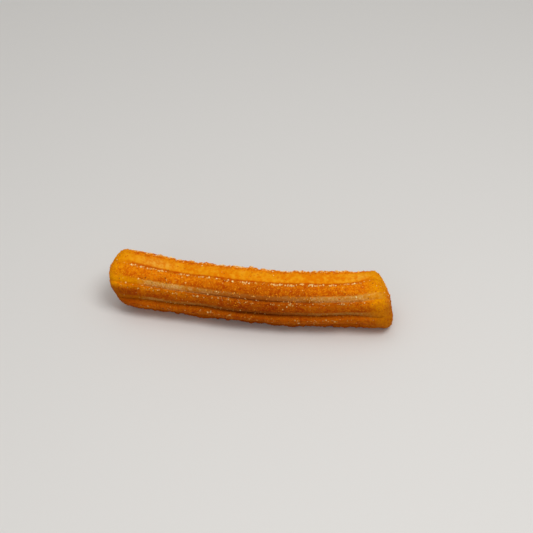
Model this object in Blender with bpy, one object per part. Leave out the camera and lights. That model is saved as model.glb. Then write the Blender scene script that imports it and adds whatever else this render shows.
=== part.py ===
"""A ridged churro, piped through a star nozzle, fried, and rolled in cinnamon sugar.

Metres, +Z up. +X runs along the churro to its right end, and -Y is the side that shows. The origin is
the middle of its footprint, on the surface that it lies on. Angles round the section are measured from
the front, -Y, upwards, so that 90 degrees is the top.
"""

import math

import bmesh
import bpy
from mathutils import Vector

# Whole churro
LENGTH = 0.1356
RADIUS = 0.0132  # out to the face of a ridge
BOW = 0.0064  # how far the middle swings out towards the front
BOW_PLACE = 0.004  # where the bow is deepest
FLAT = 0.0008  # how much of the lowest ridges is pressed flat by the churro's weight

# Ridges and grooves that the nozzle leaves. The ridges lean: going up the front, the surface rises
# gently out of each groove to the ridge's face, further to its upper edge, and drops steeply into the
# next groove.
RIDGES = 8
PITCH = 2 * math.pi / RIDGES
FIRST_ROOT = math.radians(32.5)  # the bottom of a groove, at the middle of the churro
GROOVE_DEPTH = 0.0024
GENTLE_SIDE = 0.38  # share of the pitch
STEEP_SIDE = 0.09
GROOVE_POWER = 1.25  # above 1 rounds the ridge's edges and keeps the groove's bottom sharp
CROWN = 0.0004  # how much a ridge's middle stands above its edges
LEAN = 0.0014  # how much a face's upper edge stands above its lower edge
UNEVEN = math.radians(5.0)  # the ridges aren't equally wide
UNEVEN_TURNS = 2
UNEVEN_PHASE = math.radians(143.0)
TWIST = math.radians(4.3)  # from the left end to the right
SAG = math.radians(4.2)  # the grooves turn up towards both ends
WANDER = math.radians(1.3)  # sideways drift of the grooves
WANDER_WAVE = 0.073
WANDER_PHASE = 2.93

# Ends, where the dough was snipped off
LEFT_DOME = 0.0065
RIGHT_DOME = 0.0058
RIGHT_POWER = 0.75  # below 1 squares the right dome's shoulder
LEFT_FADE = 0.019  # length over which the grooves come up to full depth
RIGHT_FADE = 0.020
LEFT_FLARE = 0.0012  # the snip spreads the dough near the ends
RIGHT_FLARE = 0.0004
FLARE_PLACE = 0.009
FLARE_WIDTH = 0.009
FAN = math.radians(9.0)  # the grooves swing up and back at the right end
FAN_LENGTH = 0.018
FAN_MIDDLE = math.radians(85.0)
LEFT_SLANT = 0.0038  # the left end is longest at the top
RIGHT_SLANT = 0.0036  # the right end is longest at the bottom
TIP_UNEVEN = 0.0005

# Swells of the whole ridge, as (height, wave length, turns round the section, phase)
SWELLS = (
    (0.00028, 0.061, 1, 0.6),
    (0.00020, 0.037, -3, 2.1),
    (0.00016, 0.023, 2, 4.0),
)
# Crags along the ridges, as (height, wave length, turns round the section, phase, irregularity)
CRAGS = (
    (0.00022, 0.0071, 4, 0.4, 1.9),
    (0.00015, 0.0049, -5, 1.3, 2.6),
)

# Mesh
RIDGE_STOPS = (0.0, 0.10, 0.20, 0.29, 0.38, 0.51, 0.65, 0.79, 0.91)  # columns, as shares of the pitch
COLUMNS = RIDGES * len(RIDGE_STOPS)
RINGS = 76
LEFT_RINGS = 0.075  # share of the rings that the left dome takes
RIGHT_RINGS = 0.085


def clamp(value):
    return min(max(value, 0.0), 1.0)


def smooth(value):
    value = clamp(value)
    return value * value * (3 - 2 * value)


def wave(x, length, turns, angle, phase, irregularity=0.0):
    """A sine along the churro that also runs round the section. Irregularity makes its spacing uneven."""
    run = 2 * math.pi * x / length
    return math.sin(run + turns * angle + phase + irregularity * math.sin(0.37 * run + 2 * angle + phase))


def station(share):
    """The place along X, and how far the section is open, at this share of the way from left to right."""
    left = math.radians(90) * clamp(share / LEFT_RINGS)
    right = math.radians(90) * clamp((share - 1 + RIGHT_RINGS) / RIGHT_RINGS)
    body = clamp((share - LEFT_RINGS) / (1 - LEFT_RINGS - RIGHT_RINGS))
    x = -LENGTH / 2 + LEFT_DOME * (1 - math.cos(left))
    x += body * (LENGTH - LEFT_DOME - RIGHT_DOME)
    x += RIGHT_DOME * math.sin(right) ** RIGHT_POWER
    opened = math.sin(left) * abs(math.cos(right)) ** RIGHT_POWER
    return x, opened


def section_angle(x, turn):
    """Where a place on a ridge lies round the section. Turn counts ridges from the first groove."""
    angle = FIRST_ROOT + turn * PITCH
    angle += UNEVEN * math.sin(UNEVEN_TURNS * angle + UNEVEN_PHASE)
    leaning = (1 + math.cos(angle - FAN_MIDDLE)) / 2
    fan = FAN * leaning**2 * smooth(1 - (LENGTH / 2 - x) / FAN_LENGTH)
    drift = TWIST * x / LENGTH + SAG * (2 * x / LENGTH) ** 2
    return angle + drift + WANDER * wave(x, WANDER_WAVE, 1, angle, WANDER_PHASE) + fan


def groove_share(turn):
    """1 at the bottom of a groove and 0 on a ridge's face."""
    place = turn % 1
    rising = clamp(1 - place / GENTLE_SIDE)
    falling = clamp(1 - (1 - place) / STEEP_SIDE)
    return max(rising, falling) ** GROOVE_POWER


def flare(x):
    """The bulge beside each snipped end."""
    height = LEFT_FLARE if x < 0 else RIGHT_FLARE
    return height * math.exp(-(((LENGTH / 2 - abs(x) - FLARE_PLACE) / FLARE_WIDTH) ** 2))


def section_radius(x, turn, angle):
    groove = groove_share(turn)
    face = clamp((turn % 1 - GENTLE_SIDE) / (1 - GENTLE_SIDE - STEEP_SIDE))
    fade = smooth((x + LENGTH / 2) / LEFT_FADE) * smooth((LENGTH / 2 - x) / RIGHT_FADE)
    swell = sum(height * wave(x, length, turns, angle, start) for height, length, turns, start in SWELLS)
    crag = sum(height * wave(x, *rest[:2], angle, *rest[2:]) for height, *rest in CRAGS)
    relief = CROWN * (4 * face * (1 - face) - 1) + LEAN * (face - 0.5) + crag
    relief -= (relief + GROOVE_DEPTH) * groove
    return RADIUS + flare(x) + swell + fade * relief


def surface_point(share, turn):
    """A point of the skin, with the floor at Z = 0."""
    x, opened = station(share)
    angle = section_angle(x, turn)
    radius = section_radius(x, turn, angle) * opened
    slope = 8 * BOW * (x - BOW_PLACE) / LENGTH**2
    heading = math.atan(slope)
    forward = radius * math.cos(angle)
    up = radius * math.sin(angle)
    left_end = smooth(1 - (LENGTH / 2 + x) / LEFT_FADE)
    right_end = smooth(1 - (LENGTH / 2 - x) / RIGHT_FADE)
    along = x - (LEFT_SLANT * left_end + RIGHT_SLANT * right_end) * up / RADIUS
    along += TIP_UNEVEN * (left_end + right_end) * opened * math.sin(3 * angle + 50 * x)
    middle = BOW * ((2 * (x - BOW_PLACE) / LENGTH) ** 2 - 1)
    return Vector(
        (
            along + forward * math.sin(heading),
            middle - forward * math.cos(heading),
            max(up + RADIUS - FLAT, 0.0),
        )
    )


def crust_material():
    material = bpy.data.materials.new("sugared_crust")
    material.use_nodes = True
    shader = material.node_tree.nodes["Principled BSDF"]
    shader.inputs["Base Color"].default_value = (0.72, 0.27, 0.025, 1.0)
    shader.inputs["Roughness"].default_value = 0.72
    shader.inputs["Metallic"].default_value = 0.0
    return material


def centre_footprint(mesh):
    """Moves the mesh so that the origin is under the middle of its box."""
    xs = [vertex.co.x for vertex in mesh.vertices]
    ys = [vertex.co.y for vertex in mesh.vertices]
    offset = Vector(((min(xs) + max(xs)) / 2, (min(ys) + max(ys)) / 2, 0.0))
    for vertex in mesh.vertices:
        vertex.co -= offset


def make_churro(collection):
    """A sphere's rings drawn out into the churro's skin: its poles become the left and right tips."""
    shape = bmesh.new()
    bmesh.ops.create_uvsphere(shape, u_segments=COLUMNS, v_segments=RINGS, radius=1.0)
    for vertex in shape.verts:
        share = math.acos(max(-1.0, min(1.0, vertex.co.z))) / math.pi
        column = round(math.atan2(vertex.co.y, vertex.co.x) / (2 * math.pi) * COLUMNS) % COLUMNS
        ridge, stop = divmod(column, len(RIDGE_STOPS))
        vertex.co = surface_point(share, ridge + RIDGE_STOPS[stop])
    mesh = bpy.data.meshes.new("churro")
    shape.to_mesh(mesh)
    shape.free()
    centre_footprint(mesh)
    mesh.shade_smooth()
    mesh.materials.append(crust_material())
    churro = bpy.data.objects.new("churro", mesh)
    collection.objects.link(churro)
    return churro


def main():
    for item in list(bpy.data.objects):
        bpy.data.objects.remove(item)
    collection = bpy.data.collections.new("churro")
    bpy.context.scene.collection.children.link(collection)
    make_churro(collection)


main()
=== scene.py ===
import math
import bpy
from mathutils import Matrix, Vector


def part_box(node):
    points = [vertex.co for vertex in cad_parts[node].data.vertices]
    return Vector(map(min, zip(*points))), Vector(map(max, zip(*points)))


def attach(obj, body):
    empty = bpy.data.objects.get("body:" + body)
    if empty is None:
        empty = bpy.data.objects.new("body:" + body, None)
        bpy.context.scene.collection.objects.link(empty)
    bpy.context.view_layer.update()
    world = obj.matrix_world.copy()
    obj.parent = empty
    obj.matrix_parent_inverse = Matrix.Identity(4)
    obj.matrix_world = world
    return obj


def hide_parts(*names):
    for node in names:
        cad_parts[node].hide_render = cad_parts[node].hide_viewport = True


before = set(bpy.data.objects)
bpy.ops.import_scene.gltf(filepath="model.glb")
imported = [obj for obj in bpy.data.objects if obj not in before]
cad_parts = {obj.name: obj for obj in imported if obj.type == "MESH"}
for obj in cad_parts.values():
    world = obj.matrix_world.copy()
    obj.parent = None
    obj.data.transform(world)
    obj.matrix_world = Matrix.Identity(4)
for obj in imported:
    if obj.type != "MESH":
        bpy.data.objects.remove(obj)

from types import SimpleNamespace

import bpy
from mathutils import Euler, Vector

scene = bpy.context.scene
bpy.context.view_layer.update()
millimetre = 0.001
fullTurn = 2 * math.pi
quarterTurn = fullTurn / 4
print("frame loaded: one churro, ready for its crust")


# Reckoning with node sockets, for shapes and for materials alike
class Field:
    def __init__(self, tree, socket):
        self.tree = tree
        self.socket = socket

    def reckon(self, operation, *others):
        node = self.tree.nodes.new("ShaderNodeMath")
        node.operation = operation
        for slot, value in zip(node.inputs, (self, *others)):
            plug(self.tree, value, slot)
        return Field(self.tree, node.outputs[0])

    def __add__(self, other):
        return self.reckon("ADD", other)

    def __sub__(self, other):
        return self.reckon("SUBTRACT", other)

    def __mul__(self, other):
        return self.reckon("MULTIPLY", other)

    def __truediv__(self, other):
        return self.reckon("DIVIDE", other)

    def __pow__(self, other):
        return self.reckon("POWER", other)

    def __neg__(self):
        return self * -1

    def __rsub__(self, other):
        return self * -1 + other

    def __rtruediv__(self, other):
        return self ** -1 * other

    __radd__ = __add__
    __rmul__ = __mul__


def plug(tree, value, slot):
    if isinstance(value, Field):
        tree.links.new(value.socket, slot)
    elif isinstance(value, bpy.types.NodeSocket):
        tree.links.new(value, slot)
    else:
        slot.default_value = value


def sine(field):
    return field.reckon("SINE")


def cosine(field):
    return field.reckon("COSINE")


def clamped(field):
    return field.reckon("MAXIMUM", 0.0).reckon("MINIMUM", 1.0)


def smooth(field):
    kept = clamped(field)
    return kept * kept * (3 - 2 * kept)


def between(field, low, high):
    # 0 at low, 1 at high, with an easy start and end
    return smooth((field - low) / (high - low))


def across(field, rise, fall):
    # Rises from 0 to 1 over the first pair of places and falls back over the second
    return between(field, *rise) * (1 - between(field, *fall))


def atLeast(least, share):
    # The share, raised evenly so that it never falls under least
    return least + (1 - least) * share


def bell(field, middle, width):
    away = (field - middle) / width
    return (-(away * away)).reckon("EXPONENT")


def nearRoot(place, width):
    # 1 in the grooves on both sides of a ridge, whose place runs from 0 to 1
    return bell((place + 0.5).reckon("FRACT"), 0.5, width)


# topSide runs from about 1 for the ridge on top of the churro to about -1 for the lowest
def onTopRidge(topSide):
    return between(topSide, 0.80, 0.98)


def onUpperRidges(topSide):
    return between(topSide, 0.2, 0.6)


def addNode(tree, kind, settings=None, **inputs):
    node = tree.nodes.new(kind)
    for key, value in (settings or {}).items():
        setattr(node, key, value)
    for key, value in inputs.items():
        plug(tree, value, node.inputs[key])
    return node


def noise(tree, vector, size, detail, roughness):
    # Cloudy noise from 0 to 1, with clouds about as wide as size
    node = addNode(
        tree,
        "ShaderNodeTexNoise",
        {"noise_dimensions": "3D", "noise_type": "FBM", "normalize": True},
        Vector=vector,
        Scale=1 / size,
        Detail=detail,
        Roughness=roughness,
    )
    return Field(tree, node.outputs[0])


def swingingNoise(tree, vector, size, detail, roughness):
    # The same from -1 to 1
    return (noise(tree, vector, size, detail, roughness) - 0.5) * 2


def scattered(tree, vector, size):
    # Many points strewn through space, about a size apart
    settings = {"voronoi_dimensions": "3D", "feature": "F1"}
    return addNode(tree, "ShaderNodeTexVoronoi", settings, Vector=vector, Scale=1 / size)


def fromPoints(tree, vector, size):
    # Distance to the nearest of them, about 0 to 1
    return Field(tree, scattered(tree, vector, size).outputs["Distance"])


# Trees that make a mesh
def shapeTree(name, sizes):
    tree = bpy.data.node_groups.new(name, "GeometryNodeTree")
    tree.interface.new_socket("Geometry", in_out="INPUT", socket_type="NodeSocketGeometry")
    tree.interface.new_socket("Geometry", in_out="OUTPUT", socket_type="NodeSocketGeometry")
    for key, value in sizes.items():
        kind = "NodeSocketInt" if isinstance(value, int) else "NodeSocketFloat"
        tree.interface.new_socket(key, in_out="INPUT", socket_type=kind)
    entry = tree.nodes.new("NodeGroupInput")
    return tree, entry.outputs["Geometry"], {key: Field(tree, entry.outputs[key]) for key in sizes}


def endTree(tree, geometry, material):
    real = addNode(tree, "GeometryNodeRealizeInstances", Geometry=geometry)
    painted = addNode(tree, "GeometryNodeSetMaterial", Geometry=real.outputs[0], Material=material)
    exitNode = tree.nodes.new("NodeGroupOutput")
    tree.links.new(painted.outputs[0], exitNode.inputs["Geometry"])


def growPiece(name, tree, sizes, startMesh=None):
    # The tree's result as a plain mesh
    start = bpy.data.objects.new("start", startMesh or bpy.data.meshes.new("start"))
    scene.collection.objects.link(start)
    modifier = start.modifiers.new("grow", "NODES")
    modifier.node_group = tree
    for item in tree.interface.items_tree:
        if item.in_out == "INPUT" and item.name in sizes:
            modifier[item.identifier] = sizes[item.name]
    depsgraph = bpy.context.evaluated_depsgraph_get()
    mesh = bpy.data.meshes.new_from_object(
        start.evaluated_get(depsgraph), preserve_all_data_layers=True, depsgraph=depsgraph
    )
    bpy.data.objects.remove(start)
    mesh.name = name
    piece = bpy.data.objects.new(name, mesh)
    scene.collection.objects.link(piece)
    return piece


def storeValue(tree, geometry, name, field, domain="POINT"):
    settings = {"data_type": "FLOAT", "domain": domain}
    inputs = {"Geometry": geometry, "Name": name, "Value": field}
    return addNode(tree, "GeometryNodeStoreNamedAttribute", settings, **inputs).outputs[0]


def storedValue(tree, name):
    node = addNode(tree, "GeometryNodeInputNamedAttribute", {"data_type": "FLOAT"}, Name=name)
    return Field(tree, node.outputs["Attribute"])


def faceValue(tree, field):
    # The value in the middle of each face
    settings = {"data_type": "FLOAT", "domain": "FACE"}
    return Field(tree, addNode(tree, "GeometryNodeFieldOnDomain", settings, Value=field).outputs[0])


def readPosition(tree):
    position = tree.nodes.new("GeometryNodeInputPosition").outputs[0]
    split = addNode(tree, "ShaderNodeSeparateXYZ", Vector=position)
    return position, [Field(tree, output) for output in split.outputs]


def setPosition(tree, geometry, **where):
    return addNode(tree, "GeometryNodeSetPosition", Geometry=geometry, **where).outputs[0]


def mixVector(tree, x, y, z):
    return addNode(tree, "ShaderNodeCombineXYZ", X=x, Y=y, Z=z).outputs[0]


def scaledVector(tree, vector, scale):
    node = addNode(tree, "ShaderNodeVectorMath", {"operation": "SCALE"}, Scale=scale)
    plug(tree, vector, node.inputs[0])
    return node.outputs[0]


# The dough: the same rule as the solid, with finer rings and columns and the crust's own relief
doughSizes = {
    "Ridges": 8,
    "Columns A Ridge": 34,
    "Rings": 330,
    "Length": 135.6 * millimetre,
    "Radius": 13.2 * millimetre,
    "Bow": 6.4 * millimetre,
    "Bow Place": 4.0 * millimetre,
    "Flat": 0.8 * millimetre,
    "First Root": math.radians(32.5),
    "Top": math.radians(98),
    "Groove Depth": 2.4 * millimetre,
    "Gentle Side": 0.38,
    "Steep Side": 0.09,
    "Groove Power": 1.25,
    "Crown": 0.4 * millimetre,
    "Lean": 1.4 * millimetre,
    "Uneven": math.radians(5),
    "Uneven Phase": math.radians(143),
    "Twist": math.radians(4.3),
    "Sag": math.radians(4.2),
    "Wander": math.radians(1.3),
    "Wander Wave": 73 * millimetre,
    "Wander Phase": 2.93,
    "Left Dome": 6.5 * millimetre,
    "Right Dome": 5.8 * millimetre,
    "Right Power": 0.75,
    "Left Fade": 19 * millimetre,
    "Right Fade": 20 * millimetre,
    "Left Flare": 1.2 * millimetre,
    "Right Flare": 0.4 * millimetre,
    "Flare Place": 9 * millimetre,
    "Flare Width": 9 * millimetre,
    "Fan": math.radians(9),
    "Fan Length": 18 * millimetre,
    "Fan Middle": math.radians(85),
    "Left Slant": 3.8 * millimetre,
    "Right Slant": 3.6 * millimetre,
    "Tip Uneven": 0.5 * millimetre,
    "Left Rings": 0.075,  # share of the rings in the left dome
    "Right Rings": 0.085,
    "Edge Crags": 0.62 * millimetre,
    "Lower Edge": 0.35,  # share of the crags on a ridge's lower edge
    "Face Lumps": 0.16 * millimetre,
    "Coat": 0.10 * millimetre,
    "Pits": 0.14 * millimetre,
    "End Lumps": 0.45 * millimetre,
    "End Creases": 0.30 * millimetre,
}
swells = (  # height, wave length, turns round the section, phase
    (0.28 * millimetre, 61 * millimetre, 1, 0.6),
    (0.20 * millimetre, 37 * millimetre, -3, 2.1),
    (0.16 * millimetre, 23 * millimetre, 2, 4.0),
)
crags = (  # height, wave length, turns round the section, phase, irregularity
    (0.22 * millimetre, 7.1 * millimetre, 4, 0.4, 1.9),
    (0.15 * millimetre, 4.9 * millimetre, -5, 1.3, 2.6),
)
cragPlaces = (0.55, 0.85)  # across a ridge, whose place runs from 0 at its root to 1 at the next one
swayPace = 0.37  # how slowly an irregular wave changes its step
tipTurns = 3  # of the uneven rim round each tip
tipTwist = 50  # radians a metre
crustRelief = {
    "coatStart": (0.36, 0.40),  # places across a ridge
    "coatEnd": (0.93, 0.98),
    "upperEdge": (0.87, 0.07),  # middle and width
    "lowerEdge": (0.42, 0.04),
    "cragNoise": (1.8 * millimetre, 3.0, 0.75),  # size, detail and roughness
    "cragRange": (0.40, 0.66),
    "cragMiddle": 0.45,
    "lumpNoise": (1.5 * millimetre, 2.0, 0.65),
    "endNoise": (1.3 * millimetre, 2.0, 0.7),
    "pitSize": 1.3 * millimetre,
    "pitRange": (0.10, 0.40),
    "creaseWidth": 0.08,
    "creaseBody": (0.0, 0.14),
}


def wave(x, length, turns, angle, phase, irregularity=0.0):
    run = x * (fullTurn / length)
    sway = sine(swayPace * run + 2 * angle + phase) * irregularity
    return sine(run + turns * angle + phase + sway)


def ballGrid(tree, size):
    # Share runs from the left tip to the right one, and place across a ridge from its root to the next
    columns = size["Ridges"] * size["Columns A Ridge"]
    ball = addNode(tree, "GeometryNodeMeshUVSphere", Segments=columns, Rings=size["Rings"], Radius=1.0)
    _, (x, y, z) = readPosition(tree)
    share = ((x * x + y * y) ** 0.5).reckon("ARCTAN2", z) / math.pi
    column = ((y.reckon("ARCTAN2", x) / fullTurn).reckon("FRACT") * columns).reckon("ROUND")
    column = column.reckon("MODULO", columns)
    place = column.reckon("MODULO", size["Columns A Ridge"]) / size["Columns A Ridge"]
    ridge = ((column + 0.5) / size["Columns A Ridge"]).reckon("FLOOR")
    return ball.outputs[0], share, ridge, place


def ringPlaces(size, share):
    # Where each ring stands along the churro, and how wide it is opened: there is a dome at each end
    left = clamped(share / size["Left Rings"]) * quarterTurn
    right = clamped((share - 1 + size["Right Rings"]) / size["Right Rings"]) * quarterTurn
    straight = clamped((share - size["Left Rings"]) / (1 - size["Left Rings"] - size["Right Rings"]))
    x = size["Left Dome"] * (1 - cosine(left)) - size["Length"] / 2
    x = x + straight * (size["Length"] - size["Left Dome"] - size["Right Dome"])
    x = x + size["Right Dome"] * sine(right) ** size["Right Power"]
    opened = sine(left) * cosine(right).reckon("ABSOLUTE") ** size["Right Power"]
    return x, opened


def ridgeAngle(size, x, half, turn):
    # Where the ridges lie round the section
    angle = size["First Root"] + turn * (fullTurn / size["Ridges"])
    angle = angle + size["Uneven"] * sine(2 * angle + size["Uneven Phase"])
    leaning = (1 + cosine(angle - size["Fan Middle"])) / 2
    fan = size["Fan"] * leaning * leaning * smooth(1 - (half - x) / size["Fan Length"])
    wander = size["Wander"] * sine(x * (fullTurn / size["Wander Wave"]) + angle + size["Wander Phase"])
    outward = x / half
    return angle + size["Twist"] * outward / 2 + size["Sag"] * outward * outward + wander + fan


def skinRadius(size, x, half, angle, place, body):
    # How far out the skin stands, before the ends close it
    rising = clamped(1 - place / size["Gentle Side"])
    falling = clamped(1 - (1 - place) / size["Steep Side"])
    groove = rising.reckon("MAXIMUM", falling) ** size["Groove Power"]
    face = clamped((place - size["Gentle Side"]) / (1 - size["Gentle Side"] - size["Steep Side"]))
    isLeft = x.reckon("LESS_THAN", 0.0)
    flareHeight = isLeft * size["Left Flare"] + (1 - isLeft) * size["Right Flare"]
    flare = flareHeight * bell(half - x.reckon("ABSOLUTE"), size["Flare Place"], size["Flare Width"])
    swell = sum(height * wave(x, length, turns, angle, phase) for height, length, turns, phase in swells)
    crag = sum(height * wave(x, *rest[:2], angle, *rest[2:]) for height, *rest in crags)
    relief = size["Crown"] * (4 * face * (1 - face) - 1) + size["Lean"] * (face - 0.5)
    relief = relief + crag * between(place, *cragPlaces)
    relief = relief - (relief + size["Groove Depth"]) * groove
    return size["Radius"] + flare + swell + body * relief


def bowedSkin(tree, size, x, half, angle, radius, opened):
    # The skin along the bowed middle line, slanted towards both ends
    slope = 8 * size["Bow"] * (x - size["Bow Place"]) / (size["Length"] * size["Length"])
    heading = slope.reckon("ARCTANGENT")
    forward = radius * cosine(angle)
    up = radius * sine(angle)
    leftEnd = smooth(1 - (half + x) / size["Left Fade"])
    rightEnd = smooth(1 - (half - x) / size["Right Fade"])
    along = x - (size["Left Slant"] * leftEnd + size["Right Slant"] * rightEnd) * up / size["Radius"]
    rim = sine(tipTurns * angle + tipTwist * x)
    along = along + size["Tip Uneven"] * (leftEnd + rightEnd) * opened * rim
    away = 2 * (x - size["Bow Place"]) / size["Length"]
    middle = size["Bow"] * (away * away - 1)
    return mixVector(
        tree,
        along + forward * sine(heading),
        middle - forward * cosine(heading),
        up + size["Radius"] - size["Flat"],
    )


def storeGuides(tree, size, geometry, ridge, place, body, outward):
    # What the materials and the grains read
    middleAngle = size["First Root"] + (ridge + 0.5) * (fullTurn / size["Ridges"])
    topSide = cosine(middleAngle - size["Top"])
    guides = {"place": place, "body": body, "topSide": topSide, "along": outward}
    for name, field in guides.items():
        geometry = storeValue(tree, geometry, name, field)

    # By corner, so that the last strip of a ridge can end at 1 where the next ridge starts at 0.
    # A strip's middle is half way between two columns and rounds to either, so only some of its faces do.
    atRoot = place.reckon("LESS_THAN", 0.01)
    inLastStrip = faceValue(tree, place).reckon("GREATER_THAN", 0.2)
    return storeValue(tree, geometry, "ridgeShare", place + atRoot * inLastStrip * (1 - place), "CORNER")


def crustHeight(tree, size, looks):
    # The crust's crags, lumps and pits
    position, _ = readPosition(tree)
    place, body = (storedValue(tree, name) for name in ("place", "body"))
    coated = across(place, looks["coatStart"], looks["coatEnd"]) * body + (1 - body)
    spikes = between(noise(tree, position, *looks["cragNoise"]), *looks["cragRange"]) - looks["cragMiddle"]
    edges = bell(place, *looks["upperEdge"]) + size["Lower Edge"] * bell(place, *looks["lowerEdge"])
    lumps = swingingNoise(tree, position, *looks["lumpNoise"])
    pits = 1 - between(fromPoints(tree, position, looks["pitSize"]), *looks["pitRange"])
    height = size["Edge Crags"] * edges * spikes * body
    height = height + size["Face Lumps"] * coated * lumps + size["Coat"] * coated
    height = height - size["Pits"] * (1 - coated) * pits * body
    endLumps = swingingNoise(tree, position, *looks["endNoise"])
    crease = nearRoot(place, looks["creaseWidth"]) * between(body, *looks["creaseBody"])
    return height + (size["End Lumps"] * endLumps - size["End Creases"] * crease) * (1 - body)


def doughTree(sizes, material):
    tree, _, size = shapeTree("doughShape", sizes)
    geometry, share, ridge, place = ballGrid(tree, size)
    half = size["Length"] / 2
    x, opened = ringPlaces(size, share)
    body = smooth((x + half) / size["Left Fade"]) * smooth((half - x) / size["Right Fade"])
    angle = ridgeAngle(size, x, half, ridge + place)
    radius = skinRadius(size, x, half, angle, place, body) * opened
    skin = bowedSkin(tree, size, x, half, angle, radius, opened)
    geometry = storeGuides(tree, size, geometry, ridge, place, body, x / half)
    geometry = setPosition(tree, geometry, Position=skin)

    normal = tree.nodes.new("GeometryNodeInputNormal").outputs[0]
    lift = scaledVector(tree, normal, crustHeight(tree, size, crustRelief))
    geometry = setPosition(tree, geometry, Offset=lift)
    _, (x, y, z) = readPosition(tree)
    pressedFlat = mixVector(tree, x, y, z.reckon("MAXIMUM", 0.0))
    geometry = setPosition(tree, geometry, Position=pressedFlat)
    endTree(tree, geometry, material)
    return tree


def centreOnNode(piece, node):
    low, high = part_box(node)
    xs = [vertex.co.x for vertex in piece.data.vertices]
    ys = [vertex.co.y for vertex in piece.data.vertices]
    middle = (low + high) / 2
    shift = Vector((middle.x - (min(xs) + max(xs)) / 2, middle.y - (min(ys) + max(ys)) / 2, 0))
    for vertex in piece.data.vertices:
        vertex.co += shift


# Materials
def tint(red, green, blue):
    # A colour as a screen shows it, made linear
    def linear(value):
        value = value / 255
        return value / 12.92 if value <= 0.04045 else ((value + 0.055) / 1.055) ** 2.4

    return (linear(red), linear(green), linear(blue), 1.0)


def newMaterial(name, settings):
    material = bpy.data.materials.new(name)
    material.use_nodes = True
    tree = material.node_tree
    shader = tree.nodes["Principled BSDF"]
    for key, value in settings.items():
        shader.inputs[key].default_value = value
    return material, tree, shader


def mixColour(tree, share, first, second, blend="MIX"):
    node = addNode(tree, "ShaderNodeMix", {"data_type": "RGBA", "blend_type": blend}, Factor=share)
    plug(tree, first, node.inputs[6])  # the node's two colours, after those of its other kinds
    plug(tree, second, node.inputs[7])
    return node.outputs[2]


def darkened(tree, share, colour, tone):
    return mixColour(tree, share, colour, tone, "MULTIPLY")


def attribute(tree, name):
    return Field(tree, addNode(tree, "ShaderNodeAttribute", {"attribute_name": name}).outputs["Fac"])


def objectPlace(tree):
    return tree.nodes.new("ShaderNodeTexCoord").outputs["Object"]


def shaderGroup(name, inputs, outputs):
    # Each of the two names its sockets and gives their kinds
    tree = bpy.data.node_groups.new(name, "ShaderNodeTree")
    for sockets, side in ((inputs, "INPUT"), (outputs, "OUTPUT")):
        for key, kind in sockets.items():
            tree.interface.new_socket(key, in_out=side, socket_type="NodeSocket" + kind)
    return tree, tree.nodes.new("NodeGroupInput").outputs, tree.nodes.new("NodeGroupOutput").inputs


def speckleGroup():
    # Packed grains: a shade of its own for each one, and a height that falls off from its middle
    inputs = {"Coordinates": "Vector", "Size": "Float"}
    tree, entry, out = shaderGroup("speckle", inputs, {"Shade": "Float", "Height": "Float"})
    packed = scattered(tree, entry["Coordinates"], Field(tree, entry["Size"]))
    parts = addNode(tree, "ShaderNodeSeparateColor", Color=packed.outputs["Color"])
    plug(tree, parts.outputs["Red"], out["Shade"])
    plug(tree, 1 - Field(tree, packed.outputs["Distance"]), out["Height"])
    return tree


speckle = speckleGroup()


def speckles(tree, size):
    inputs = {"Coordinates": objectPlace(tree), "Size": size}
    node = addNode(tree, "ShaderNodeGroup", {"node_tree": speckle}, **inputs)
    return Field(tree, node.outputs["Shade"]), Field(tree, node.outputs["Height"])


broadNoise = (11 * millimetre, 2.0, 0.5)  # size, detail and roughness
mottleNoise = (2.2 * millimetre, 3.0, 0.65)
shadeAndBrowningLooks = {
    "range": (10.2, 15.6),  # in millimetres: painted shade and browning below this height, and none at all above
    "towardsTheFront": 0.5,  # how much higher it reaches for each millimetre nearer the front
    "hump": 2.0,  # how much higher it reaches there, in millimetres
    "humpPlace": (44, 16),  # middle and width along the churro, in millimetres
    "mottled": 2.0,  # how far its edge goes up and down, in millimetres
    "uneven": 1.5,
    "body": 0.62,
    "leftEnd": 0.25,
    "leftEndStart": (49, 60),  # millimetres left of the middle
    "spared": 0.9,
    # the brown of the painted shade and the browner underside
    "colour": (0.42, 0.24, 0.10, 1.0),
}


def shadeAndBrowningGroup(looks):
    # How much darker and browner the crust is low on the front, and most of all at the left end: partly
    # painted shade, partly a browner underside
    tree, entry, out = shaderGroup("shadeAndBrowning", {"Coordinates": "Vector"}, {"Share": "Float"})
    coordinates = entry["Coordinates"]
    split = addNode(tree, "ShaderNodeSeparateXYZ", Vector=coordinates)
    x, y, z = (Field(tree, output) / millimetre for output in split.outputs)
    ragged = looks["mottled"] * swingingNoise(tree, coordinates, *mottleNoise)
    ragged = ragged + looks["uneven"] * swingingNoise(tree, coordinates, *broadNoise)
    height = z + looks["towardsTheFront"] * y + ragged - looks["hump"] * bell(x, *looks["humpPlace"])
    low = 1 - between(height, *looks["range"])
    leftEnd = looks["leftEnd"] * between(-x, *looks["leftEndStart"])
    plug(tree, low * (looks["body"] + leftEnd), out["Share"])
    return tree


shadeAndBrowning = shadeAndBrowningGroup(shadeAndBrowningLooks)


# Lays the painted shade and browning over a colour, less where spared
def shadedAndBrowned(tree, colour, spared):
    node = addNode(tree, "ShaderNodeGroup", {"node_tree": shadeAndBrowning}, Coordinates=objectPlace(tree))
    share = Field(tree, node.outputs["Share"]) * (1 - shadeAndBrowningLooks["spared"] * spared)
    return darkened(tree, share, colour, shadeAndBrowningLooks["colour"])


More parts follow.
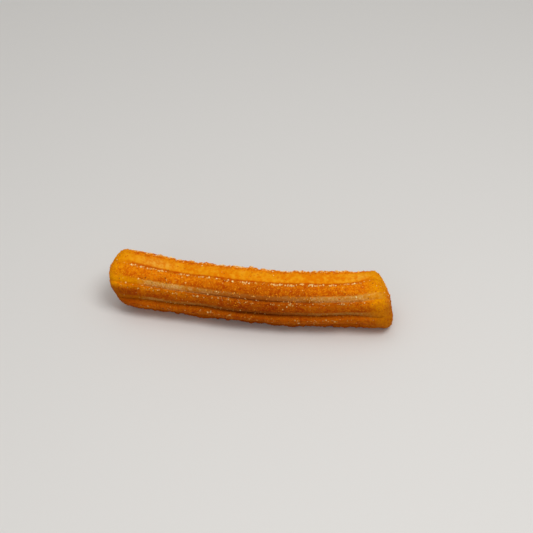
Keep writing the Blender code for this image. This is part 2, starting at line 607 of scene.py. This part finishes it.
# Places across a ridge run from 0 at its root to 1 at the next one, and places along from -1 to 1.
# A pair of them is a start and an end, or for a bell its middle and width.
crustLooks = {
    "shader": {"Specular IOR Level": 0.03},
    "grainSize": 0.45 * millimetre,
    "grainNoise": (0.7 * millimetre, 2.0, 0.6),
    "roughness": 0.75,
    "roughnessSwing": 0.2,
    "bump": 0.6,
    "bumpDepth": 0.12 * millimetre,
    "smootherFlank": 0.7,
    "sparedBody": (0.3, 0.9),
    "face": {
        "dark": tint(205, 90, 0),
        "plain": tint(236, 130, 0),
        "light": tint(246, 166, 28),
        "patches": (0.34, 0.64),
        "lightening": 0.35,
        "lighteningPlace": 0.62,
        "lessOnTop": 0.3,
        "glints": (0.62, 0.95),
        "glintShare": 0.55,
    },
    "smoothFace": {
        "plain": tint(228, 126, 0),
        "light": tint(238, 155, 14),
        "cream": tint(242, 176, 66),
        "patches": (0.38, 0.66),
        "creamPatches": (0.52, 0.66),
        "creamShare": 0.14,
        "creamStretches": ((-0.68, 0.10, 0.80), (0.81, 0.08, 0.45)),  # middle, width and share
        "creamPlace": (0.34, 0.16),
        "creamEdges": (0.3, 0.6),
        "end": (0.52, 0.68),
        "narrowing": 0.10,
        "narrowingEnd": (-0.9, -0.6),
    },
    "flank": {
        "dark": tint(212, 132, 26),
        "plain": tint(220, 164, 74),
        "light": tint(244, 196, 126),
        "pit": tint(140, 74, 8),
        "bare": (0.32, 0.58),
        "lessInTheMiddle": 0.75,
        "middle": (0.06, 0.34),
        "lessAtTheEnds": 0.45,
        "ends": (0.62, 0.85),
        "glints": (0.5, 0.9),
        "glintShare": 0.7,
        "pitSize": 1.6 * millimetre,
        "pitEdge": (0.36, 0.52),
        "pitRaggedness": 0.5,
        "pitless": (0.62, 0.54),
        "goldenEnd": (-0.78, -0.70),
        "end": (0.32, 0.40),
    },
    "shades": {
        "shadeBrown": (0.45, 0.19, 0.1, 1.0),
        # painted shade in the grooves and in the creases of the ends
        "root": (0.34, 0.20, 0.15, 1.0),
        "foldShade": (0.72, 0.45, 0.10, 1.0),
        "underSugar": (0.90, 0.05),
        "underSugarShare": 0.35,
        "goldenRidge": (0.0, 0.3),  # topSide, as a bell
        "goldenPlace": (0.76, 0.88),
        "goldenEnd": (-0.5, -0.3),
        "goldenShare": 0.6,
        "middle": (0.07, 0.45),
        "middleShadeShare": 0.58,
        "moreOnFlanks": 0.15,
        "lessOnFaces": 0.24,
        "faceStart": (0.62, 0.92),
        "grooveEnd": (0.02, 0.12),
        "grooveStart": (0.95, 0.99),
        "grooveShadeShare": 0.7,
        "grooveMiddle": (0.07, 0.42),
        "grooveLeast": 0.25,
        "foldEnd": (0.11, 0.20),
    },
    "ends": {
        "dark": tint(222, 134, 0),
        "plain": tint(236, 154, 0),
        "patches": (0.30, 0.70),
        "crusty": (0.985, 1.0),
        "crustyShare": 0.65,
        "start": (0.10, 0.70),
        "share": 0.92,
        "lessWhereBare": 0.35,
        "bareStart": (0.5, 0.8),
        "bareEnd": (0.955, 0.98),
        "creaseWidth": 0.07,
        "creaseBody": (0.18, 0.12),
        "creaseShadeShare": 0.25,
    },
}


class CrustSkin:
    # What the crust's colours go by
    def __init__(self, tree, looks):
        self.tree = tree
        self.coordinates = objectPlace(tree)
        self.place = attribute(tree, "ridgeShare")
        self.body = attribute(tree, "body")
        self.topSide = attribute(tree, "topSide")
        self.along = attribute(tree, "along")
        self.outward = self.along.reckon("ABSOLUTE")
        self.onTop = onTopRidge(self.topSide)
        self.broad = noise(tree, self.coordinates, *broadNoise)
        self.mottle = noise(tree, self.coordinates, *mottleNoise)
        self.grain = noise(tree, self.coordinates, *looks["grainNoise"])
        self.fleck, self.fleckHeight = speckles(tree, looks["grainSize"])
        self.glint = self.ragged(self.fleck, mottle=0.8)

    def ragged(self, field, **amounts):
        # A field made uneven by some of the noises above
        for name, amount in amounts.items():
            field = field + amount * (getattr(self, name) - 0.5)
        return field


def endColour(skin, looks):
    golden = between(skin.ragged(skin.mottle, fleck=0.5), *looks["patches"])
    return mixColour(skin.tree, golden, looks["dark"], looks["plain"])


def faceColour(skin, looks):
    # Sugared and orange, lighter towards the upper edge
    lightening = looks["lightening"] - looks["lessOnTop"] * skin.onTop
    patches = skin.ragged(skin.mottle, grain=0.5, broad=0.5)
    patches = patches + lightening * (skin.place - looks["lighteningPlace"])
    colour = mixColour(skin.tree, between(patches, *looks["patches"]), looks["dark"], looks["plain"])
    glints = between(skin.glint, *looks["glints"]) * looks["glintShare"]
    return mixColour(skin.tree, glints, colour, looks["light"])


def smoothFaceColour(skin, looks):
    # The golden face of the ridge on top, with cream low on it
    patches = between(skin.ragged(skin.mottle, broad=0.7), *looks["patches"])
    colour = mixColour(skin.tree, patches, looks["plain"], looks["light"])
    stretches = looks["creamStretches"]
    stretched = sum(bell(skin.along, middle, width) * share for middle, width, share in stretches)
    low = bell(skin.place, *looks["creamPlace"]) * between(skin.mottle, *looks["creamEdges"])
    creamy = between(skin.mottle, *looks["creamPatches"]) * looks["creamShare"] + stretched * low
    return mixColour(skin.tree, clamped(creamy), colour, looks["cream"])


def smoothFaceShare(skin, looks):
    # Up to where the sugared part of that ridge starts
    narrowing = looks["narrowing"] * (1 - between(skin.along, *looks["narrowingEnd"]))
    return skin.onTop * (1 - between(skin.ragged(skin.place, mottle=0.16) + narrowing, *looks["end"]))


def flankColour(skin, looks, smoothFace, tip):
    # Pale, with small pits, rising out of each groove
    tree = skin.tree
    bare = between(skin.ragged(skin.mottle, broad=0.6), *looks["bare"])
    # Less pale in the middle of the churro: painted shade
    bare = bare * (1 - looks["lessInTheMiddle"] * bell(skin.along, *looks["middle"]))
    bare = bare * (1 - looks["lessAtTheEnds"] * between(skin.outward, *looks["ends"]))
    colour = mixColour(tree, bare, looks["dark"], looks["plain"])
    glints = bare * between(skin.glint, *looks["glints"]) * looks["glintShare"]
    colour = mixColour(tree, glints, colour, looks["light"])
    fromPits = fromPoints(tree, skin.coordinates, looks["pitSize"]) + looks["pitRaggedness"] * skin.grain
    whole = between(fromPits, *looks["pitEdge"]).reckon("MAXIMUM", between(skin.broad, *looks["pitless"]))
    colour = mixColour(tree, whole, looks["pit"], colour)
    golden = 1 - between(skin.ragged(skin.along, mottle=0.06), *looks["goldenEnd"])
    colour = mixColour(tree, golden, colour, tip)
    return mixColour(tree, skin.onTop, colour, smoothFace)


def flankShare(skin, looks):
    return 1 - between(skin.ragged(skin.place, mottle=0.12, fleck=0.09), *looks["end"])


def shadedColour(skin, looks, colour, tip, flank):
    # Painted shade: darker under the row of sugar along each ridge's upper edge
    tree = skin.tree
    underSugar = bell(skin.place, *looks["underSugar"]) * skin.body * looks["underSugarShare"]
    colour = darkened(tree, underSugar, colour, looks["shadeBrown"])

    # Golden upper edge of the ridges half way down, near the left end
    golden = bell(skin.topSide, *looks["goldenRidge"]) * between(skin.place, *looks["goldenPlace"])
    golden = golden * (1 - between(skin.along, *looks["goldenEnd"])) * looks["goldenShare"]
    colour = mixColour(tree, golden, colour, tip)

    # Painted shade, browner and darker, in the middle of the churro on every ridge but the one on top
    middleShadeShare = looks["middleShadeShare"] + looks["moreOnFlanks"] * flank
    middleShadeShare = middleShadeShare - looks["lessOnFaces"] * between(skin.place, *looks["faceStart"])
    middle = bell(skin.along, *looks["middle"]) * (1 - skin.onTop) * middleShadeShare
    colour = darkened(tree, clamped(middle), colour, looks["shadeBrown"])

    # Painted shade down in the grooves, strongest in the middle of the churro, and a painted shade line
    # low on the top ridge's smooth face, next to the groove
    groove = 1 - between(skin.place, *looks["grooveEnd"])
    groove = groove.reckon("MAXIMUM", between(skin.place, *looks["grooveStart"]))
    groove = groove * looks["grooveShadeShare"] * (1 - skin.onTop) * skin.body
    groove = groove * atLeast(looks["grooveLeast"], bell(skin.along, *looks["grooveMiddle"]))
    colour = darkened(tree, groove, colour, looks["root"])
    foldShade = skin.onTop * (1 - between(skin.place, *looks["foldEnd"])) * skin.body
    return darkened(tree, foldShade, colour, looks["foldShade"])


def endedColour(skin, looks, colour, tip, face, flank, creaseShadeTone):
    # Golden ends, crusty at their very tips, with a pale flank that runs on into the right one
    tree = skin.tree
    crusty = between(skin.ragged(skin.outward, broad=0.02), *looks["crusty"]) * looks["crustyShare"]
    tip = mixColour(tree, crusty, tip, face)
    bare = flank * between(skin.along, *looks["bareStart"]) * onUpperRidges(skin.topSide)
    bare = bare * (1 - between(skin.outward, *looks["bareEnd"]))
    share = (1 - between(skin.body, *looks["start"])) * (looks["share"] - looks["lessWhereBare"] * bare)
    colour = mixColour(tree, share, colour, tip)
    # Painted shade in the creases that run into each end
    crease = nearRoot(skin.place, looks["creaseWidth"]) * bell(skin.body, *looks["creaseBody"])
    return darkened(tree, crease * looks["creaseShadeShare"], colour, creaseShadeTone)


def crustMaterial(looks):
    material, tree, shader = newMaterial("sugaredCrust", looks["shader"])
    skin = CrustSkin(tree, looks)
    tip = endColour(skin, looks["ends"])
    face = faceColour(skin, looks["face"])
    smoothFace = smoothFaceColour(skin, looks["smoothFace"])
    flank = flankShare(skin, looks["flank"])
    colour = mixColour(tree, smoothFaceShare(skin, looks["smoothFace"]), face, smoothFace)
    colour = mixColour(tree, flank, colour, flankColour(skin, looks["flank"], smoothFace, tip))
    colour = shadedColour(skin, looks["shades"], colour, tip, flank)
    colour = endedColour(skin, looks["ends"], colour, tip, face, flank, looks["shades"]["root"])
    # Painted shade and browning, less on the upper ridges
    spared = onUpperRidges(skin.topSide) * between(skin.body, *looks["sparedBody"])
    plug(tree, shadedAndBrowned(tree, colour, spared), shader.inputs["Base Color"])
    roughness = looks["roughness"] + looks["roughnessSwing"] * (skin.grain - 0.5)
    plug(tree, roughness, shader.inputs["Roughness"])

    relief = skin.fleckHeight * (1 - flank * looks["smootherFlank"]) + skin.grain
    bump = {"Strength": looks["bump"], "Distance": looks["bumpDepth"], "Height": relief}
    plug(tree, addNode(tree, "ShaderNodeBump", **bump).outputs[0], shader.inputs["Normal"])
    return material


# The churro's dough
print("growing the dough")
crust = crustMaterial(crustLooks)
dough = growPiece("dough", doughTree(doughSizes, crust), doughSizes)
centreOnNode(dough, "churro")
print("dough:", len(dough.data.polygons), "faces")
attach(dough, "root")
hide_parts("churro")


# Grains strewn over the dough
grainLooks = {
    "floor": (1.0 * millimetre, 1.8 * millimetre),  # height over which they start
    "stretch": (0.55, 1.25),
    "fewLarge": 3,  # the power that keeps large grains rare
    "fleckSize": 0.15 * millimetre,
    "fleckShare": 0.3,
}
randomSeeds = {"spin": 1, "stretch": 2, "size": 3, "shade": 4}


def randomVector(tree, low, high, seed):
    node = addNode(tree, "FunctionNodeRandomValue", {"data_type": "FLOAT_VECTOR"}, Seed=seed)
    plug(tree, (low, low, low), node.inputs["Min"])
    plug(tree, (high, high, high), node.inputs["Max"])
    return node.outputs[0]


def randomShare(tree, seed):
    node = addNode(tree, "FunctionNodeRandomValue", {"data_type": "FLOAT"}, Seed=seed)
    return Field(tree, node.outputs[1])  # the first output is the vector's


def strewTree(name, kind, material):
    # Grains lie thick where the kind's density says
    tree, ground, size = shapeTree(name, kind["sizes"])
    position, (x, y, z) = readPosition(tree)
    guides = {key: storedValue(tree, key) for key in ("place", "body", "topSide")}
    spot = SimpleNamespace(tree=tree, position=position, x=x, y=y, z=z, **guides)
    share = clamped(kind["density"](spot, size, kind) * between(z, *grainLooks["floor"]))
    spread = addNode(
        tree,
        "GeometryNodeDistributePointsOnFaces",
        {"distribute_method": "RANDOM"},
        Mesh=ground,
        Density=size["Thickest"] * share / (millimetre * millimetre),
        Seed=size["Seed"],
    )
    bigness = randomShare(tree, randomSeeds["size"]) ** grainLooks["fewLarge"]
    grainSize = size["Smallest"] + bigness * (size["Largest"] - size["Smallest"])
    stretch = randomVector(tree, *grainLooks["stretch"], randomSeeds["stretch"])
    grain = addNode(tree, "GeometryNodeMeshCube", Size=(1.0, 1.0, 1.0))
    placed = addNode(
        tree,
        "GeometryNodeInstanceOnPoints",
        Points=spread.outputs["Points"],
        Instance=grain.outputs[0],
        Rotation=randomVector(tree, 0.0, fullTurn, randomSeeds["spin"]),
        Scale=scaledVector(tree, stretch, grainSize),
    )
    shade = randomShare(tree, randomSeeds["shade"])
    endTree(tree, storeValue(tree, placed.outputs[0], "shade", shade, "INSTANCE"), material)
    return tree


def grainMaterial(kind):
    material, tree, shader = newMaterial(kind["material"], kind["shader"])
    fleck, _ = speckles(tree, grainLooks["fleckSize"])
    shade = attribute(tree, "shade") + grainLooks["fleckShare"] * (fleck - 0.5)
    colour = mixColour(tree, clamped(shade), kind["dark"], kind["light"])
    spared = onUpperRidges(attribute(tree, "topSide"))
    # The grains take the same painted shade and browning
    plug(tree, shadedAndBrowned(tree, colour, spared), shader.inputs["Base Color"])
    return material


def sugarDensity(spot, size, looks):
    # In clumps along each ridge's upper edge, and here and there below it
    onTop = onTopRidge(spot.topSide)
    drawnOut = mixVector(spot.tree, spot.x * looks["drawnOut"], spot.y, spot.z)
    clumps = between(noise(spot.tree, drawnOut, *looks["clumpNoise"]), *looks["clumpEdge"])
    broad = between(noise(spot.tree, spot.position, *looks["broadNoise"]), *looks["broadEdge"])
    middle = looks["rimPlace"] - looks["lowerOnTop"] * onTop
    rim = bell(spot.place, middle, looks["rimWidth"] + looks["widerOnTop"] * onTop)
    rim = rim * atLeast(looks["strayShare"], clumps) * (1 - looks["lessOnTop"] * onTop)
    face = across(spot.place, looks["faceStart"], looks["faceEnd"]) * size["Face Share"]
    face = face * atLeast(looks["leastBroad"], broad) * (1 - looks["barerSmoothFace"] * onTop)
    face = face * atLeast(looks["leastOnFace"], clumps)
    flank = (1 - between(spot.place, *looks["flankEnd"])) * size["Flank Share"] * (1 - onTop)
    under = atLeast(looks["leastUnderneath"], between(spot.topSide, *looks["upperSide"]))
    onBody = between(spot.body, *looks["bodyStart"])
    return (rim + face + flank) * onBody * under + (1 - onBody) * size["End Share"] * broad


def amberDensity(spot, size, looks):
    # All over the faces, and thin on the smooth one and on the flanks
    onTop = onTopRidge(spot.topSide)
    clumps = between(noise(spot.tree, spot.position, *looks["clumpNoise"]), *looks["clumpEdge"])
    face = across(spot.place, looks["faceStart"], looks["faceEnd"]) + size["Flank Share"] * (1 - onTop)
    smoothFace = onTop * (1 - between(spot.place, *looks["smoothFaceEnd"]))
    face = clamped(face) * (1 - looks["lessOnSmoothFace"] * smoothFace)
    ends = atLeast(size["End Share"], between(spot.body, *looks["bodyStart"]))
    return face * atLeast(looks["leastClump"], clumps) * ends


def cinnamonDensity(spot, size, looks):
    clumps = between(noise(spot.tree, spot.position, *looks["clumpNoise"]), *looks["clumpEdge"])
    face = atLeast(looks["leastOffFace"], between(spot.place, *looks["faceStart"]))
    return face * atLeast(looks["leastClump"], clumps)


sugarCrystals = {
    "material": "sugarGrains",
    "shader": {"Roughness": 0.3, "Specular IOR Level": 0.25},
    "dark": tint(240, 164, 40),
    "light": tint(255, 234, 160),
    "density": sugarDensity,
    "clumpNoise": (1.5 * millimetre, 2.0, 0.7),  # size, detail and roughness
    "clumpEdge": (0.50, 0.54),
    "drawnOut": 0.45,  # so that clumps run along the ridge
    "broadNoise": (16 * millimetre, 1.0, 0.5),
    "broadEdge": (0.35, 0.65),
    "rimPlace": 0.89,
    "lowerOnTop": 0.06,
    "rimWidth": 0.028,
    "widerOnTop": 0.05,
    "strayShare": 0.03,  # between the clumps
    "lessOnTop": 0.15,
    "faceStart": (0.36, 0.42),
    "faceEnd": (0.9, 0.95),
    "leastBroad": 0.1,
    "leastOnFace": 0.3,
    "barerSmoothFace": 0.7,
    "flankEnd": (0.30, 0.40),
    "leastUnderneath": 0.25,
    "upperSide": (-0.2, 0.7),
    "bodyStart": (0.2, 0.8),
    "sizes": {
        "Thickest": 7.5,  # grains a square millimetre
        "Face Share": 0.025,
        "Flank Share": 0.022,
        "End Share": 0.008,
        "Smallest": 0.28 * millimetre,
        "Largest": 0.66 * millimetre,
        "Seed": 7,
    },
}
amberGrains = {
    "material": "amberGrains",
    "shader": {"Roughness": 0.6, "Specular IOR Level": 0.05},
    "dark": tint(210, 98, 0),
    "light": tint(244, 160, 24),
    "density": amberDensity,
    "clumpNoise": (2.2 * millimetre, 2.0, 0.7),
    "clumpEdge": (0.36, 0.62),
    "leastClump": 0.25,
    "faceStart": (0.24, 0.42),
    "faceEnd": (0.96, 0.99),
    "smoothFaceEnd": (0.66, 0.8),
    "lessOnSmoothFace": 0.8,
    "bodyStart": (0.2, 0.85),
    "sizes": {
        "Thickest": 2.0,
        "Flank Share": 0.10,
        "End Share": 0.85,
        "Smallest": 0.22 * millimetre,
        "Largest": 0.52 * millimetre,
        "Seed": 3,
    },
}
cinnamonSpecks = {
    "material": "cinnamonSpecks",
    "shader": {"Roughness": 0.8},
    "dark": tint(84, 34, 6),
    "light": tint(140, 62, 10),
    "density": cinnamonDensity,
    "clumpNoise": (5 * millimetre, 1.0, 0.5),
    "clumpEdge": (0.40, 0.62),
    "leastClump": 0.3,
    "faceStart": (0.3, 0.5),
    "leastOffFace": 0.4,
    "sizes": {"Thickest": 0.06, "Smallest": 0.12 * millimetre, "Largest": 0.45 * millimetre, "Seed": 5},
}

print("strewing sugar, amber grains and cinnamon")
facesAGrain = 6
grainKinds = {"sugarCrystals": sugarCrystals, "amberGrains": amberGrains, "cinnamonSpecks": cinnamonSpecks}
for name, kind in grainKinds.items():
    tree = strewTree(name + "Shape", kind, grainMaterial(kind))
    grains = growPiece(name, tree, kind["sizes"], dough.data)
    print(name + ":", len(grains.data.polygons) // facesAGrain, "grains")
    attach(grains, "root")


# Stage, light and camera
stageLooks = {
    "floorSize": 3.0,
    "floor": tint(222, 220, 217),
    "floorShader": {"Roughness": 0.8, "Specular IOR Level": 0.2},
    "sky": (1.0, 0.99, 0.97, 1.0),
    "skyStrength": 0.40,
}
lamps = (  # name, place, size, watts
    ("keyLamp", (0.28, -0.20, 0.75), 0.40, 3.2),
    ("topLamp", (-0.20, 0.15, 0.80), 0.50, 0.8),
    ("fillLamp", (-0.10, -0.55, 0.30), 0.50, 0.4),
)
cameraSettings = {
    "lens": 91.88,
    "sensor": 36,
    "place": (0.09244, -0.49707, 0.44761),
    "turn": (0.87767, 0.02180, 0.15028),
}


def makeFloor(looks):
    reach = looks["floorSize"] / 2
    corners = [(-reach, -reach, 0), (reach, -reach, 0), (reach, reach, 0), (-reach, reach, 0)]
    mesh = bpy.data.meshes.new("floor")
    mesh.from_pydata(corners, [], [(0, 1, 2, 3)])
    material, _, shader = newMaterial("paleFloor", looks["floorShader"])
    shader.inputs["Base Color"].default_value = looks["floor"]
    mesh.materials.append(material)
    floor = bpy.data.objects.new("floor", mesh)
    scene.collection.objects.link(floor)
    return floor


def makeSky(looks):
    world = bpy.data.worlds.new("studio")
    world.use_nodes = True
    background = world.node_tree.nodes["Background"]
    background.inputs["Color"].default_value = looks["sky"]
    background.inputs["Strength"].default_value = looks["skyStrength"]
    scene.world = world


def makeLamp(name, place, size, watts):
    # A soft lamp that looks at the churro
    light = bpy.data.lights.new(name, "AREA")
    light.size = size
    light.energy = watts
    lamp = bpy.data.objects.new(name, light)
    lamp.location = place
    lamp.rotation_euler = Vector(place).to_track_quat("Z", "Y").to_euler()
    scene.collection.objects.link(lamp)


def makeCamera(settings):
    cameraData = bpy.data.cameras.new("camera")
    cameraData.lens = settings["lens"]
    cameraData.sensor_width = settings["sensor"]
    camera = bpy.data.objects.new("camera", cameraData)
    camera.location = settings["place"]
    camera.rotation_euler = Euler(settings["turn"])
    scene.collection.objects.link(camera)
    scene.camera = camera


floor = makeFloor(stageLooks)
makeSky(stageLooks)
for lamp in lamps:
    makeLamp(*lamp)
makeCamera(cameraSettings)
scene.view_settings.view_transform = "Standard"

print("stage, light and camera set")
